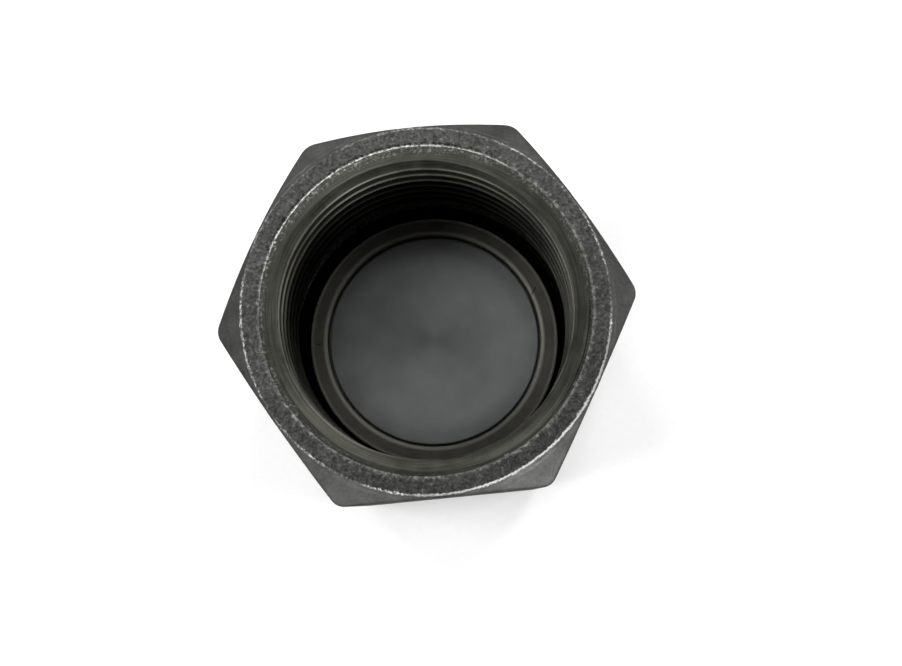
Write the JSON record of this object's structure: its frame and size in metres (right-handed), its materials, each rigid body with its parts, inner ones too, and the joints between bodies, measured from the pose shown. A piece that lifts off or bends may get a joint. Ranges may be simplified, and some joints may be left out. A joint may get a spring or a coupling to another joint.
{
  "type": "pipe cap",
  "caption": "Hexagonal steel pipe cap with a female thread, closed at one end, holding a flat gasket on a blanking disc at the bottom of its bore.",
  "frame": {"origin": "middle of the closed end's face, on the bore axis", "axes": "+Z along the bore and out of the open mouth, +X through a corner of the hexagon, +Y and -Y square to two wrench flats"},
  "size_m": [0.0434, 0.038, 0.033],
  "materials": {
    "forged_steel": "dark oiled black steel, gritty machined mouth face with bright worn edges, satin wrench flats",
    "turned_steel": "fine face-turned satin steel",
    "nitrile_rubber": "smooth brown-black moulded rubber, slightly oily"
  },
  "bodies": {
    "cap": {"cap_body": "forged_steel"},
    "disc": {"blanking_disc": "turned_steel"},
    "seal": {"seal_ring": "nitrile_rubber"}
  },
  "joints": [
    {"name": "disc_turn", "type": "hinge", "parent": "cap", "child": "disc", "pos_m": [0, 0, 0.005], "axis": [0, 0, 1], "continuous": true},
    {"name": "seal_lift", "type": "slide", "parent": "disc", "child": "seal", "axis": [0, 0, 1], "range_m": [0, 0.03]}
  ]
}
